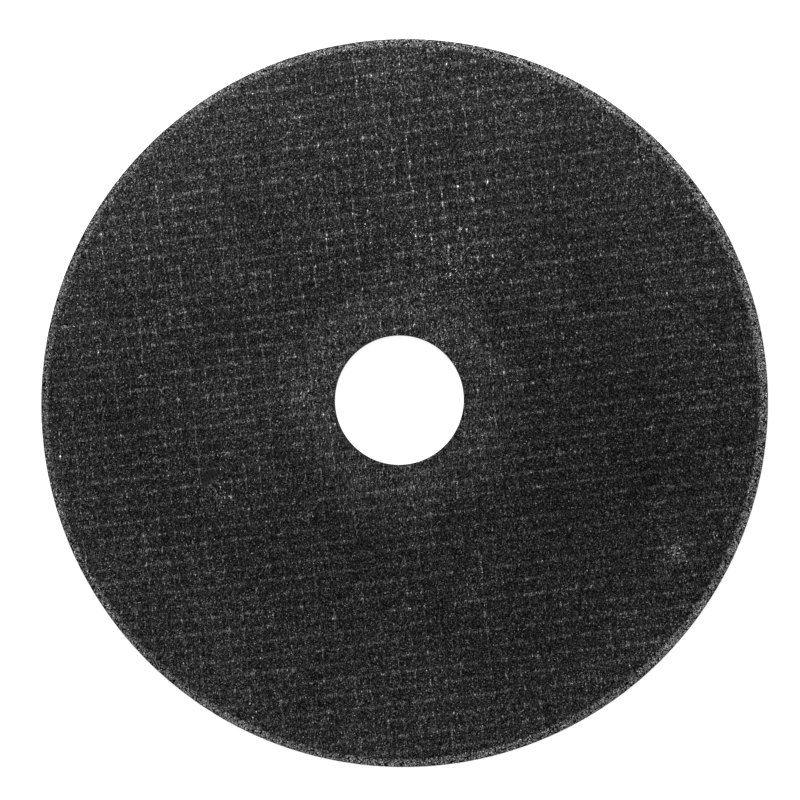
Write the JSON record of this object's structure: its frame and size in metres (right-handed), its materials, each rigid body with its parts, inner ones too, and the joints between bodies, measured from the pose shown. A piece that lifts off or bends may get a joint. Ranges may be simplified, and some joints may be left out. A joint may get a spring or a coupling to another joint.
{
  "type": "cut-off wheel",
  "caption": "Thin flat cut-off wheel with a plain round bore, flat flange seats, woven mesh in both faces and a bare grit rim.",
  "frame": {"origin": "centre of the bore on the underside, where the wheel rests on a table", "axes": "+Z along the spindle axis, out of the upper face; the upper face's weft yarns run 7.2 degrees up from +X"},
  "size_m": [0.125, 0.125, 0.0012],
  "materials": {
    "abrasive": "matte, coarse grain bonded in dark resin"
  },
  "bodies": {
    "root": {"abrasive_disc": "abrasive"}
  },
  "joints": []
}
